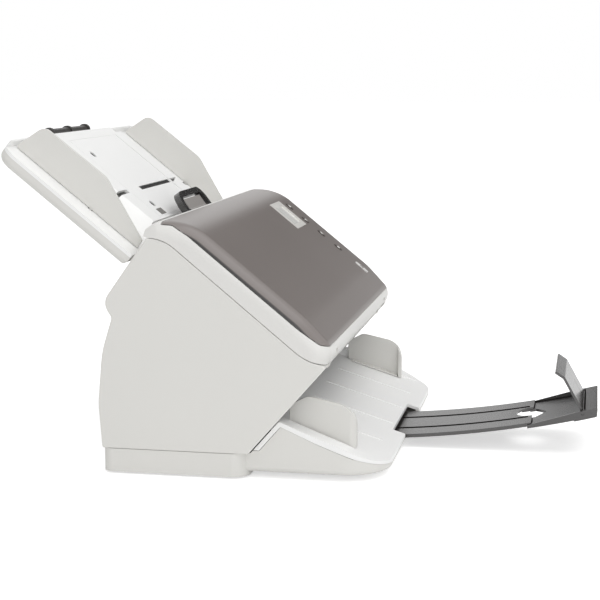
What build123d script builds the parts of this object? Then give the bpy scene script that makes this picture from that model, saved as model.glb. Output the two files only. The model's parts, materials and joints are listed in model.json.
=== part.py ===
from build123d import *
import os
from math import atan2, cos, degrees, hypot, pi, radians, sin

# Desktop sheet-fed scanner, in millimetres. X runs across the width, +Y to the rear, +Z up.
# The desk is Z = 0. Places are worked out with the front of the body near Y = 0, and the
# finished model is then centred in plan.

# Casing
body_width = 312.0
wall = 2.6                    # moulded casing wall
rim_depth = 10.0              # how far the side panels' rims turn inwards
seam = 0.4                    # parting line between two casings
slide_gap = 0.5               # between pieces that slide past each other
foot_height = 1.5
base_height = 18.3            # top of the bottom housing, where the side panels start
base_rear = 100.4
base_front = -5.9
base_corner_radius = 12.0
base_rear_radius = 7.0
base_inset = 0.5              # how far the base pan stands in from the side panels

# Side view of the body: corners as (Y, Z)
waist = (102.8, 50.0)
flank = (99.5, 88.0)
nape = (91.8, 112.5)
knuckle = (98.6, 123.0)
shoulder_rear = (65.9, 169.1)
shoulder_front = (53.9, 169.1)
brow = (-45.4, 87.5)
chin = (-61.5, 82.3)

# Cover
cover_slope = 38.9            # degrees, tilt of the operator panel
panel_foot = (-46.0, 114.6)   # a point of the panel's slope in side view
cover_front_top = (-65.6, 93.6)
cover_crest_height = 181.0
cover_rear = 68.5
cover_edge_radius = 12.0
panel_skin = 2.0
panel_rear = 56.0
panel_groove = 0.5
lever_notch_front = 62.0      # front of the cover's cut-out for the release lever
cover_axis = (-59.8, 86.6)
cover_knuckle_radius = 2.9
cover_pin_radius = 1.4
knuckle_inset = 34.0          # from the body's side to the middle of a knuckle
cover_knuckle_length = 8.0

# Operator controls, measured from panel_foot up the slope and across
display_width = 37.7
display_length = 31.0
display_x = 91.0
display_up = 78.0
bezel_width = 5.0
button_x = 121.5
button_length = 8.0
button_width = 5.0
button_places = (84.5, 66.5, 48.5, 29.5)
power_button_length = 14.0
power_button_width = 6.0
power_button_place = 3.0
button_height = 3.4
button_proud = 0.4
fit_gap = 0.35

# Paper path: a straight run from the throat down to the exit
path_top = (62.0, 157.0)
path_foot = (-14.0, 49.0)
throat_edge = (80.6, 171.4)
guide_gap = 1.9               # between the lower and the upper paper guides
guide_sink = 0.8              # the rollers stand this far above the lower guide
guide_skin = 3.0
chassis_inset = 20.0          # from the body's side to the inner face of a steel side plate
frame_clearance = 5.0         # between a steel plate and the cover's inner frame
chassis_sheet = 1.5
roller_radius = 11.0
shaft_radius = 3.0
bushing_wall = 2.0
running_clearance = 0.05
nip_gap = 0.3
feed_place = 24.0             # distances down the path
exit_place = 112.0
sensor_place = 68.0
sensor_length = 20.0
sensor_inset = 16.0           # from the frame's side to the end of an image sensor
sensor_depth = 12.0
glass_thickness = 1.4
feed_tyre_x = 17.0
feed_tyre_width = 24.0
exit_tyre_places = (-88.0, -32.0, 32.0, 88.0)
exit_tyre_width = 10.0
separation_radius = 8.0
pinch_radius = 6.0
pinch_shaft_radius = 2.0

# Gear train and motor
gear_module = 1.0
gear_offset = 6.0             # from the steel plate to the middle of the gears
gear_width = 4.0
end_gear_teeth = 24
small_idler_teeth = 20
large_idler_teeth = 24
pinion_teeth = 12
stud_radius = 2.0
motor_radius = 14.0
motor_length = 36.0

# Input tray, in its own plane: a runs up the slope from the throat, b stands off the surface
tray_slope = 38.6
tray_foot = (81.8, 173.0)
tray_inset = 4.0              # from the body's side to the tray's side
tray_length = 107.5
platform_end = 96.5           # where the raised middle stops, short of the end wall
end_drop = 4.7                # depth of the end wall's top
tray_skirt = 14.0             # how far the troughs run on below the platform
platform_half_width = 79.5
trough_half_width = 92.0
trough_depth = 9.8
tray_depth = 20.5
tray_split = 12.1             # depth of the parting line between the tray's shells
tray_wall = 2.3
tray_corner_radius = 14.0
centre_panel_half_width = 56.5
panel_gap_left = 0.3
panel_gap_right = 0.9
centre_panel_end = 93.5
tray_axis = (5.0, -7.5)       # hinge line as (a, b)
tray_pin_radius = 1.5
ear_place = 64.0
ear_width = 7.0
ear_radius = 4.0
paper_guide_inset = 23.0      # from the tray's side to a guide
paper_guide_thickness = 3.0
paper_guide_top = 15.7
guide_slot_place = 33.6
guide_slot_width = 3.9
guide_slot_inner = 59.5
guide_slot_spare = 3.0        # slot beyond the guide's outermost place
rack_width = 5.0
rack_thickness = 3.0
rack_depth = 14.9
extension_half_width = 48.0
extension_thickness = 2.6
extension_depth = 8.2         # from the tray's surface to the top of the extension
grip_half_width = 43.0
grip_place = 113.3            # middle of the grip's roll as (a, b)
grip_drop = 10.0
grip_radius = 3.6
grip_rib_radius = 4.8
grip_rib_width = 3.2

# Output tray
deck_inset = 6.0              # from the body's side to the deck's side
deck_front = -103.3
deck_front_height = 11.7
deck_rise = 0.31              # height gained per millimetre to the rear
deck_rear = -14.5
deck_thickness = 2.4
deck_corner_radius = 33.0
notch_half_width = 45.4
notch_rear = -93.8
tub_floor = 4.5               # underside of the output tub
tub_edge_radius = 4.0
keel_front = -98.0            # where the extension's channel drops below that underside
output_guide_inset = 19.0     # from the deck's side to a guide
output_guide_thickness = 3.0
output_guide_curl = 6.0       # how far a guide's front edge curls inwards
output_guide_front = -78.8
output_guide_rear = -31.0
output_guide_top = 56.8

# Output extension: both stages run on one arc in side view
arc_radius = 812.0
arc_centre_y = -36.5
arc_bottom = 7.4              # height of the sliding surface at its lowest point
stage_half_width = 40.2
stage_skin = 1.6
stage_depth = 2.75            # height of the inner stage's side rails
stage_rail = 2.0
inner_stage_front = -197.0
inner_stage_rear = -82.0
stage_groove_place = 18.0
stage_groove_width = 5.0
stage_groove_depth = 1.1
stage_lug_length = 6.0        # lugs at the inner stage's rear end, which ride on the housing's rails
run_inner = 43.0              # inner face of those rails
run_gap = 0.3
finger_hole_half_width = 14.5
finger_hole_reach = 12.5
rail_gap = 0.35               # between the outer stage's rails and the inner stage
rail_thickness = 1.5
outer_stage_depth = 3.75
outer_stage_rear = -188.0
outer_rail_rear = -194.5
cap_front = -246.0
cap_rear = -237.0
cap_side_rear = -228.6
cap_top = 1.9                 # the end cap above and below the arc
cap_bottom = 4.5
stop_place = -235.0
stop_lift = 0.2
stop_half_width = 37.0
stop_thickness = 1.9
stop_lean = 29.3              # degrees from upright
stop_bend = 29.0
stop_top = 7.9
stop_top_lean = 57.0
stop_pin_radius = 1.2
stop_slit_place = 11.5

half_width = body_width / 2
slope = radians(cover_slope)
path_run = (path_foot[0] - path_top[0], path_foot[1] - path_top[1])
path_length = hypot(*path_run)
path_down = (path_run[0] / path_length, path_run[1] / path_length)
path_out = (path_down[1], -path_down[0])
inner_half = half_width - rim_depth
deck_half_width = half_width - deck_inset
tray_half_width = half_width - tray_inset
chassis_place = half_width - chassis_inset
frame_half_width = chassis_place - frame_clearance
sensor_half_width = frame_half_width - sensor_inset
gear_place = chassis_place + gear_offset
cover_knuckle_place = half_width - knuckle_inset
output_guide_place = deck_half_width - output_guide_inset
paper_guide_place = tray_half_width - paper_guide_inset
outer_stage_half_width = stage_half_width + rail_gap + rail_thickness


def outline(*corners):
    """Side-view face from (Y, Z, corner radius) triples."""
    points = [(y, z) for y, z, radius in corners]
    radii = [radius for y, z, radius in corners]
    face = make_face(FilletPolyline(*points, radius=radii, close=True)).faces()[0]
    return -face if face.normal_at().Z < 0 else face


def across(face, x_from, x_to):
    """Solid that a side-view face sweeps from one place across the width to another."""
    solid = extrude(face, x_to - x_from, dir=(0, 0, 1))
    return Pos(x_from, 0, 0) * (Plane.YZ * solid)


def block(x_from, x_to, y_from, y_to, z_from, z_to):
    """Box between six limits."""
    size = (x_to - x_from, y_to - y_from, z_to - z_from)
    middle = ((x_from + x_to) / 2, (y_from + y_to) / 2, (z_from + z_to) / 2)
    return Pos(*middle) * Box(*size)


def rod(place, radius, x_from, x_to):
    """Round bar along X at a (Y, Z) place."""
    bar = Rot(0, 90, 0) * Cylinder(radius, x_to - x_from)
    return Pos((x_from + x_to) / 2, place[0], place[1]) * bar


def both_sides(piece):
    """A piece with its mirror image on the other side."""
    return piece + mirror(piece, about=Plane.YZ)


def on_path(down, out=0.0):
    """(Y, Z) of a place down the paper path and out towards the cover."""
    return (path_top[0] + down * path_down[0] + out * path_out[0],
            path_top[1] + down * path_down[1] + out * path_out[1])


def tilted(place, tilt):
    """Plane through a (Y, Z) place whose local Y climbs to the rear at a tilt in degrees."""
    turn = radians(tilt)
    return Plane(origin=(0, place[0], place[1]), x_dir=(1, 0, 0), z_dir=(0, -sin(turn), cos(turn)))


panel_plane = tilted(panel_foot, cover_slope)
tray_plane = tilted(tray_foot, tray_slope)
path_tilt = degrees(atan2(-path_down[1], -path_down[0]))
path_plane = tilted(path_top, path_tilt)


def on_tray(a, b):
    """(Y, Z) of a place on the input tray."""
    turn = radians(tray_slope)
    return (tray_foot[0] + a * cos(turn) - b * sin(turn),
            tray_foot[1] + a * sin(turn) + b * cos(turn))


def arc_height(y, lift=0.0):
    """Height of the output extension's arc at a place along Y."""
    radius = arc_radius - lift
    return arc_bottom + arc_radius - (radius ** 2 - (y - arc_centre_y) ** 2) ** 0.5


def arc_strip(y_from, y_to, top, bottom, x_from, x_to):
    """Curved strip between two distances above the arc."""
    def ends(lift):
        return [(y, arc_height(y, lift)) for y in (y_from, y_to)]

    upper, lower = ends(top), ends(bottom)
    middle = (y_from + y_to) / 2
    edges = [ThreePointArc(upper[0], (middle, arc_height(middle, top)), upper[1]),
             Line(upper[1], lower[1]),
             ThreePointArc(lower[1], (middle, arc_height(middle, bottom)), lower[0]),
             Line(lower[0], upper[0])]
    return across(make_face(edges), x_from, x_to)


nodes = {}

# Side panels: moulded skins with rims that turn inwards
body_face = outline(
    (base_front, base_height + seam / 2, 1.6), (base_rear, base_height + seam / 2, 1.6),
    (*waist, 60.0), (*flank, 80.0), (*nape, 4.0), (*knuckle, 10.8), (*shoulder_rear, 1.6),
    (*shoulder_front, 28.0), (*brow, 40.0), (*chin, 1.6))
panel_skin_solid = across(body_face, half_width - rim_depth, half_width)
outer_edges = panel_skin_solid.faces().sort_by(Axis.X)[-1].edges()
panel_skin_solid = fillet(outer_edges, 1.0)
panel_hollow = across(offset(body_face, -wall), half_width - rim_depth - 1, half_width - wall)
side_panel = panel_skin_solid - panel_hollow
nodes["side_panel_right"] = side_panel
nodes["side_panel_left"] = mirror(side_panel, about=Plane.YZ)


# Bottom housing: base pan and output tub in one moulding
def rounded_plan(x_half, y_from, y_to, front_radius, rear_radius, height):
    """Upright block with rounded corners in plan."""
    slab = block(-x_half, x_half, y_from, y_to, 0, height)
    uprights = slab.edges().filter_by(Axis.Z).sort_by(Axis.Y)
    slab = fillet(uprights[:2], front_radius)
    uprights = slab.edges().filter_by(Axis.Z).sort_by(Axis.Y)
    return fillet(uprights[-2:], rear_radius)


def deck_height(y):
    """Height of the output deck's plane."""
    return deck_front_height + deck_rise * (y - deck_front)


def panel_edge(z, forward):
    """Y of a place ahead of the side panels' slanted front edge, at a height."""
    run = (base_front - chin[0]) / (chin[1] - base_height - seam / 2)
    return chin[0] + run * (chin[1] - z) - forward


tub_mouth = 5.6               # the tub's slanted rear edge ahead of the side panels
tub_peak = 37.8
tub_heel = base_height + 1.7
floor_skin = 2.0
base_plan = rounded_plan(half_width - base_inset, base_front + base_inset, base_rear, base_corner_radius,
                         base_rear_radius, base_height)
under_base = block(-half_width, half_width, deck_front - wall, base_rear + wall, -1, foot_height)
base_block = base_plan - under_base
tub_side = outline(
    (deck_front, tub_floor, 0.0),
    *[(y, deck_height(y) - deck_thickness - seam / 2, 0.0) for y in (deck_front, -80.0)],
    (-53.0, 26.8, 0.0), (panel_edge(tub_peak, tub_mouth), tub_peak, 0.0),
    (panel_edge(tub_heel, tub_mouth), tub_heel, 0.0), (panel_edge(tub_heel, 1.0), tub_heel, 0.0),
    (panel_edge(base_height, 1.0), base_height, 0.0), (base_front + 8.0, base_height, 0.0),
    (base_front + 8.0, tub_floor, 0.0))
tub_plan = rounded_plan(deck_half_width, deck_front, base_front + 20.0, deck_corner_radius, 1.0, 60.0)
tub_block = across(tub_side, -deck_half_width, deck_half_width) & tub_plan
tub_rim = [edge for edge in tub_block.edges().group_by(Axis.Z)[0] if edge.center().Y < base_front]
tub_block = fillet(tub_rim, tub_edge_radius)
keel_half = notch_half_width + 1.0 + wall
keel = block(-keel_half, keel_half, keel_front, base_front + 8.0, foot_height, tub_floor + floor_skin)
base_inside = rounded_plan(half_width - base_inset - wall, base_front + base_inset + wall, base_rear - wall,
                           base_corner_radius - wall, base_rear_radius - wall, base_height + 1)
base_inside = base_inside - block(-half_width, half_width, deck_front, base_rear, -1,
                                  foot_height + floor_skin)
tub_inside = rounded_plan(deck_half_width - wall, deck_front + wall, base_front + 20.0,
                          deck_corner_radius - wall, 1.0, 60.0)
tub_inside = tub_inside - block(-half_width, half_width, deck_front, base_rear, -1, tub_floor + floor_skin)
channel_skin = 1.4
channel_half = notch_half_width + 1.0
channel_rear = 24.0
channel_inside = block(-channel_half, channel_half, deck_front + wall, channel_rear, tub_floor + 1.0,
                       base_height)
channel_inside = channel_inside + block(-channel_half, channel_half, keel_front + channel_skin, channel_rear,
                                        foot_height + channel_skin, base_height)
stage_room = outer_stage_depth + slide_gap
front_slot = block(-notch_half_width, notch_half_width, deck_front - 1, deck_front + wall + 1,
                   arc_height(deck_front, -stage_room), 60.0)
bottom_housing = base_block + tub_block + keel
bottom_housing = bottom_housing - base_inside - tub_inside - channel_inside - front_slot
stage_run = arc_strip(notch_rear + 0.5, 14.0, -stage_skin - run_gap, -14.0, run_inner, channel_half + 0.5)
run_zone = block(0, half_width, deck_front, channel_rear, foot_height + 0.5, base_height)
bottom_housing = bottom_housing + both_sides(stage_run & run_zone)
nodes["bottom_housing"] = bottom_housing

# Rubber feet
foot_radius = 7.0
rear_foot_inset = 24.0
front_foot_inset = 38.0
foot_places = [(half_width - rear_foot_inset, y, foot_height) for y in (82.0, 12.0)]
foot_places = foot_places + [(half_width - front_foot_inset, -74.0, tub_floor)]
nodes["rubber_feet"] = Part() + [
    Pos(side * x, y, height / 2) * Cylinder(foot_radius, height)
    for x, y, height in foot_places for side in (-1, 1)]

# Output deck: sloping plate with raised ledges at both sides
plate_face = outline(
    (deck_front, deck_height(deck_front), 1.0), (deck_rear, deck_height(deck_rear), 0.0),
    (deck_rear, deck_height(deck_rear) - deck_thickness, 0.0),
    (deck_front, deck_height(deck_front) - deck_thickness, 0.0))
plate_inner = across(plate_face, -deck_half_width + wall + 0.8, deck_half_width - wall - 0.8)
plate_rim = across(plate_face, -deck_half_width, deck_half_width) & block(
    -half_width, half_width, deck_front - 1, -80.0, 0, 60)
band_front = tub_mouth - 0.4
band_rear = 1.0
band_foot = tub_heel + 0.4
ledge_face = outline(
    (-92.0, deck_height(-92.0) - 1.0, 0.0), (-80.0, deck_height(-80.0) - deck_thickness + 0.2, 0.0),
    (-53.0, 27.0, 0.0), (panel_edge(tub_peak + 0.2, band_front), tub_peak + 0.2, 0.0),
    (panel_edge(band_foot, band_front), band_foot, 0.0), (panel_edge(band_foot, band_rear), band_foot, 0.0),
    (panel_edge(41.2, band_rear), 41.2, 0.0), (-28.3, 41.1, 0.0), (-55.4, 30.4, 0.0), (-70.0, 25.0, 20.0),
    (-92.0, deck_height(-92.0), 0.0))
ledge_from = output_guide_place + 3.6
ledge = across(ledge_face, ledge_from, deck_half_width)
ledge_root_face = outline(
    (-92.0, deck_height(-92.0) - 1.0, 0.0), (-22.0, deck_height(-22.0) - 1.0, 0.0), (-22.0, 43.4, 0.0),
    (-28.3, 41.1, 0.0), (-55.4, 30.4, 0.0), (-70.0, 25.0, 20.0), (-92.0, deck_height(-92.0), 0.0))
ledge = ledge + across(ledge_root_face, ledge_from, inner_half - seam)
deck = (plate_inner + plate_rim + both_sides(ledge)) & tub_plan
deck = deck - block(-notch_half_width, notch_half_width, deck_front - 5, notch_rear, 0, 60)
deck_ribs = Part() + [
    across(outline((deck_front + 12, deck_height(deck_front + 12), 0.0), (-30.0, deck_height(-30.0), 0.0),
                   (-30.0, deck_height(-30.0) + 0.5, 0.0),
                   (deck_front + 12, deck_height(deck_front + 12) + 0.5, 0.0)), x - 0.6, x + 0.6)
    for x in (-84.0, -28.0, 28.0, 84.0)]
nodes["output_deck"] = deck + deck_ribs


# Output side guides: plates whose front edge curls inwards, each on a foot that slides on the deck
output_guide_side = outline(
    (output_guide_front, deck_height(output_guide_front) + seam, 1.0),
    (output_guide_front, 49.5, 17.0), (-44.0, output_guide_top, 7.0),
    (output_guide_rear, 50.0, 1.0), (output_guide_rear, deck_height(output_guide_rear) + seam, 1.0))
guide_outer = output_guide_place + output_guide_thickness / 2
guide_inner = guide_outer - output_guide_thickness
guide_plan = make_face(FilletPolyline(
    (guide_outer, output_guide_front), (guide_outer, output_guide_rear), (guide_inner, output_guide_rear),
    (guide_inner, output_guide_front + output_guide_thickness),
    (guide_inner - output_guide_curl, output_guide_front + output_guide_thickness),
    (guide_inner - output_guide_curl, output_guide_front),
    radius=[5.0, 0.5, 0.5, 2.0, 0.5, 0.5], close=True))
guide_sweep = extrude(guide_plan, output_guide_top + 5, dir=(0, 0, 1))
output_guide = across(output_guide_side, guide_inner - output_guide_curl - 1, guide_outer + 1) & guide_sweep
guide_foot = across(outline(
    (output_guide_front + 4, deck_height(output_guide_front + 4) + seam, 0.0),
    (output_guide_rear - 4, deck_height(output_guide_rear - 4) + seam, 0.0),
    (output_guide_rear - 4, deck_height(output_guide_rear - 4) + seam + 1.0, 0.0),
    (output_guide_front + 4, deck_height(output_guide_front + 4) + seam + 1.0, 0.0)),
    guide_inner - output_guide_curl, output_guide_place)
output_guide = output_guide + guide_foot
nodes["output_guide_right"] = output_guide
nodes["output_guide_left"] = mirror(output_guide, about=Plane.YZ)


# Output extension: two stages that follow one arc into the tub
inner_stage = arc_strip(inner_stage_front, inner_stage_rear, 0, -stage_skin, -stage_half_width,
                        stage_half_width)
inner_stage = inner_stage + both_sides(arc_strip(
    inner_stage_front, inner_stage_rear, -1.0, -stage_depth, stage_half_width - stage_rail, stage_half_width))
groove = arc_strip(inner_stage_front + 3.0, inner_stage_rear - 12, 1, -stage_groove_depth,
                   stage_groove_place - stage_groove_width / 2, stage_groove_place + stage_groove_width / 2)
inner_stage = inner_stage - both_sides(groove)
inner_stage = inner_stage + both_sides(arc_strip(
    inner_stage_rear - stage_lug_length, inner_stage_rear, 0, -stage_skin, stage_half_width - 0.5,
    channel_half - slide_gap))
finger_hole = Pos(0, inner_stage_front, 0) * extrude(
    Ellipse(finger_hole_half_width, finger_hole_reach), 60.0, dir=(0, 0, 1))
nodes["extension_inner"] = inner_stage - finger_hole

# Outer stage: a tongue inside the inner stage's rails, two rising side rails outside them joined
# to it by a web below, and the end cap
tongue_top = -stage_skin - 0.3
web_top = -stage_depth - 0.3
tongue_half = stage_half_width - stage_rail - slide_gap
joint_place = cap_rear - 0.1   # the stage's pieces run this far into the end cap
tongue = arc_strip(joint_place, outer_stage_rear, tongue_top, web_top - 0.1, -tongue_half, tongue_half)
web = arc_strip(joint_place, outer_rail_rear, web_top, -outer_stage_depth, -outer_stage_half_width,
                outer_stage_half_width)
rail_corners = [(y, arc_height(y, lift)) for y, lift in (
    (outer_rail_rear, -outer_stage_depth), (joint_place, -outer_stage_depth), (joint_place, cap_top),
    (cap_side_rear, cap_top), (outer_rail_rear, -1.2))]
rail_middle = (outer_rail_rear + cap_rear) / 2
rail_face = make_face([
    ThreePointArc(rail_corners[0], (rail_middle, arc_height(rail_middle, -outer_stage_depth)),
                  rail_corners[1]),
    Polyline(*rail_corners[1:], rail_corners[0])])
rail = across(rail_face, outer_stage_half_width - rail_thickness, outer_stage_half_width)
cap_side_face = outline(
    (cap_side_rear, arc_height(cap_side_rear, -cap_bottom), 0.8),
    (joint_place, arc_height(cap_rear, -cap_bottom), 0.0),
    (joint_place, arc_height(cap_rear, cap_top), 0.0),
    (cap_side_rear, arc_height(cap_side_rear, cap_top), 0.8))
cap_side = across(cap_side_face, stop_half_width + slide_gap, outer_stage_half_width)
cap_face = outline(
    (cap_front, arc_height(cap_front, cap_top), 0.8),
    (cap_front + 0.4, arc_height(cap_front, -cap_bottom), 1.2),
    (cap_rear, arc_height(cap_rear, -cap_bottom), 0.0), (cap_rear, arc_height(cap_rear, cap_top), 0.3))
outer_stage = tongue + web + both_sides(rail + cap_side)
outer_stage = outer_stage + across(cap_face, -outer_stage_half_width, outer_stage_half_width)
stop_axis = (stop_place, arc_height(stop_place, stop_lift))
outer_stage = outer_stage - rod(stop_axis, stop_pin_radius + running_clearance, -outer_stage_half_width - 1,
                                outer_stage_half_width + 1)
tongue_hole = make_face(Polyline(
    (-finger_hole_half_width, outer_stage_rear + 1), (-finger_hole_half_width, inner_stage_front - 2.0),
    (0, inner_stage_front - finger_hole_reach + 1.5), (finger_hole_half_width, inner_stage_front - 2.0),
    (finger_hole_half_width, outer_stage_rear + 1), close=True))
nodes["extension_outer"] = outer_stage - extrude(tongue_hole, 60.0, dir=(0, 0, 1))


# Paper stop: cranked flap on pins, slit from its foot
def leaning(start, length, lean):
    """Place at a distance from a start, along a line that leans to the rear by an angle in degrees."""
    return (start[0] + length * sin(radians(lean)), start[1] + length * cos(radians(lean)))


def beside(place, distance, lean):
    """Place to the rear of a leaning line."""
    return (place[0] + distance * cos(radians(lean)), place[1] - distance * sin(radians(lean)))


half_stop = stop_thickness / 2
crank_lean = (stop_lean + stop_top_lean) / 2
bend_place = leaning(stop_axis, stop_bend, stop_lean)
top_place = leaning(bend_place, stop_top, stop_top_lean)
stop_side = outline(
    (*beside(stop_axis, -half_stop, stop_lean), 0.0), (*beside(bend_place, -half_stop, crank_lean), 2.0),
    (*beside(top_place, -half_stop, stop_top_lean), 0.5), (*beside(top_place, half_stop, stop_top_lean), 0.5),
    (*beside(bend_place, half_stop, crank_lean), 2.0), (*beside(stop_axis, half_stop, stop_lean), 0.0))
end_stop = across(stop_side, -stop_half_width, stop_half_width)
end_stop = end_stop + rod(stop_axis, stop_pin_radius + 0.4, -stop_half_width, stop_half_width)
stop_pin_half = outer_stage_half_width - 0.6
end_stop = end_stop + rod(stop_axis, stop_pin_radius, -stop_pin_half, stop_pin_half)
slit_foot = leaning(stop_axis, 2.2, stop_lean)
slit = tilted(slit_foot, 90.0 - stop_lean).location * block(
    stop_slit_place - 0.4, stop_slit_place + 0.4, 0.0, stop_bend / 2, -5, 5)
nodes["end_stop"] = end_stop - slit

# Cover: outer form, operator panel skin and casing
crest_y = panel_foot[0] + (cover_crest_height - panel_foot[1]) / sin(slope) * cos(slope)
cover_corners = (
    (chin[0] - 0.1, chin[1] + seam + 0.3, 2.9), (*cover_front_top, 12.5), (*panel_foot, 60.0),
    (crest_y, cover_crest_height, 45.0), (60.5, cover_crest_height - 0.6, 13.0),
    (cover_rear, 175.0, 0.0), (cover_rear, shoulder_rear[1] + 1.2, 0.0),
    (shoulder_rear[0] - 1.5, shoulder_front[1] + seam, 0.0),
    (shoulder_front[0] - 0.2, shoulder_front[1] + seam, 28.0), (brow[0] - 0.2, brow[1] + seam, 40.0))
cover_side = outline(*cover_corners)
front_run = (cover_corners[0][0] - cover_front_top[0], cover_corners[0][1] - cover_front_top[1])
rear_run = (cover_corners[5][0] - cover_corners[4][0], cover_corners[5][1] - cover_corners[4][1])
crest_face = outline(
    (cover_front_top[0] + 4 * front_run[0], cover_front_top[1] + 4 * front_run[1], 0.0),
    *cover_corners[1:5],
    (cover_corners[4][0] + 6 * rear_run[0], cover_corners[4][1] + 6 * rear_run[1], 0.0))


def crest_form(inset):
    """The cover's upper form with rolled side edges, shrunk all round by an inset."""
    face = offset(crest_face, -inset, kind=Kind.INTERSECTION) if inset else crest_face
    solid = across(face, -half_width + inset, half_width - inset)
    underside = solid.faces().filter_by(lambda part: part.normal_at().Z < -0.3)
    keep = [edge.center() for part in underside for edge in part.edges()]
    edges = [
        edge for edge in solid.edges().filter_by(Axis.X, reverse=True)
        if all((edge.center() - centre).length > 0.01 for centre in keep)]
    return fillet(edges, cover_edge_radius - inset)


cover_outer = crest_form(0.0) & across(cover_side, -half_width, half_width)
panel_region_face = outline(
    (-62.8, 96.0, 0.0), (-56.5, 97.8, 6.0), (-42.1, 108.2, 60.0), (35.6, 171.3, 30.0),
    (48.0, 178.4, 8.0), (panel_rear, 178.7, 0.0), (panel_rear, 200.0, 0.0), (-62.8, 200.0, 0.0))
panel_region = across(panel_region_face, -half_width - 1, half_width + 1)
recess_region = across(offset(panel_region_face, panel_groove), -half_width - 1, half_width + 1)
under_panel = crest_form(panel_skin)
control_panel = (cover_outer & panel_region) - under_panel
cover_shell = cover_outer - (recess_region - under_panel)
cavity_face = offset(crest_face, -(panel_skin + wall), kind=Kind.INTERSECTION)
cavity = across(cavity_face, -half_width + wall, half_width - wall)
cavity = cavity & block(-half_width, half_width, cover_front_top[0], cover_rear - wall, 0, 200)
cover_shell = cover_shell - cavity
# The two horizontal slots for the release lever and for the static knuckles
lever_half_width = 36.0
lever_notch = block(-lever_half_width - 7, lever_half_width + 7, lever_notch_front, cover_rear + 1,
                    shoulder_rear[1] - 2, 200)
cover_shell = cover_shell - lever_notch
knuckle_slot = block(cover_knuckle_place - cover_knuckle_length / 2 - slide_gap,
                     cover_knuckle_place + cover_knuckle_length / 2 + slide_gap,
                     cover_front_top[0] - 5, cover_axis[0] + 4.2, 70.0, cover_axis[1] + 4.0)
cover_shell = cover_shell - both_sides(knuckle_slot)
cover_boss = Part() + [
    rod(cover_axis, cover_knuckle_radius, x, x + 6.0)
    for x in (cover_knuckle_place - cover_knuckle_length / 2 - slide_gap - 6.0,
              cover_knuckle_place + cover_knuckle_length / 2 + slide_gap)]
cover_shell = cover_shell + both_sides(cover_boss)
cover_pin_half = cover_knuckle_length / 2 + slide_gap + 5.0
cover_pin = rod(cover_axis, cover_pin_radius, cover_knuckle_place - cover_pin_half,
               cover_knuckle_place + cover_pin_half)
cover_shell = cover_shell + both_sides(cover_pin)

# Controls on the panel
def on_panel(piece, x, up):
    """Place a piece made flat on the panel's slope."""
    return panel_plane.location * (Pos(x, up, 0) * piece)


def key(length, width, height):
    """Key cap with rounded ends; its top is at local Z = 0."""
    cap_face = RectangleRounded(width, length, width / 2 - 0.01)
    return Pos(0, 0, -height) * extrude(cap_face, height, dir=(0, 0, 1))


button_names = ("menu_button_up", "menu_button_down", "menu_button_back", "menu_button_select")
key_cuts = Part()
for name, up in zip(button_names, button_places):
    cap_solid = Pos(0, 0, button_proud) * key(button_length, button_width, button_height)
    nodes[name] = on_panel(cap_solid, button_x, up)
    key_cuts = key_cuts + on_panel(Pos(0, 0, 3) * key(button_length + 2 * fit_gap,
                                                      button_width + 2 * fit_gap, 12), button_x, up)
power_cap = Pos(0, 0, button_proud) * key(power_button_length, power_button_width, button_height)
nodes["power_button"] = on_panel(power_cap, button_x, power_button_place)
key_cuts = key_cuts + on_panel(Pos(0, 0, 3) * key(power_button_length + 2 * fit_gap,
                                                  power_button_width + 2 * fit_gap, 12),
                               button_x, power_button_place)
display_hole = on_panel(Box(display_width, display_length, 12), display_x, display_up)
control_panel = control_panel - key_cuts - display_hole
cover_shell = cover_shell - key_cuts - display_hole
bezel = extrude(Rectangle(display_width - 0.2, display_length - 0.2), 3.0, dir=(0, 0, 1))
bezel = bezel - extrude(Rectangle(display_width - 2 * bezel_width, display_length - 2 * bezel_width), 3.0,
                        dir=(0, 0, 1))
nodes["display_bezel"] = on_panel(Pos(0, 0, -2.8) * bezel, display_x, display_up)
window = Box(display_width - 2 * bezel_width - 0.1, display_length - 2 * bezel_width - 0.1, 1.6)
nodes["display_window"] = on_panel(Pos(0, 0, -1.6) * window, display_x, display_up)
board = extrude(Rectangle(62.0, 96.0), 1.6, dir=(0, 0, 1))
board = board + Pos(-13.0, 28.0, 1.6) * Box(34.0, 27.0, 1.6, align=(Align.CENTER, Align.CENTER, Align.MIN))
nodes["control_board"] = on_panel(Pos(0, 0, -panel_skin - wall - 3.5) * board, 104.0, 47.0)
nodes["control_panel"] = control_panel
nodes["cover_shell"] = cover_shell

# Front wall under the cover, with the static knuckles of the cover's hinge
wall_run = radians(49.0)
wall_top = (chin[0] + 3.6, chin[1] - 3.4)
wall_foot = (wall_top[0] + 19.0 * cos(wall_run), wall_top[1] - 19.0 * sin(wall_run))
wall_in = (2.2 * sin(wall_run), 2.2 * cos(wall_run))
front_wall = across(outline(
    (*wall_top, 0.8), (*wall_foot, 0.8), (wall_foot[0] + wall_in[0], wall_foot[1] + wall_in[1], 0.8),
    (wall_top[0] + wall_in[0], wall_top[1] + wall_in[1], 0.8)), -inner_half + 0.1, inner_half - 0.1)
knuckle_from = cover_knuckle_place - cover_knuckle_length / 2
knuckle_to = cover_knuckle_place + cover_knuckle_length / 2
ear = rod(cover_axis, cover_knuckle_radius, knuckle_from, knuckle_to)
ear = ear + across(outline(
    (cover_axis[0] - 1.6, cover_axis[1], 0.0), (cover_axis[0] + 2.2, cover_axis[1], 0.0),
    (wall_top[0] + 3.2, wall_top[1] - 1.5, 0.0), (wall_top[0] + 0.4, wall_top[1] - 2.2, 0.0)),
    knuckle_from, knuckle_to)
ear = ear - rod(cover_axis, cover_pin_radius + running_clearance, knuckle_from - 1, knuckle_to + 1)
nodes["front_wall"] = front_wall + both_sides(ear)

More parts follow.
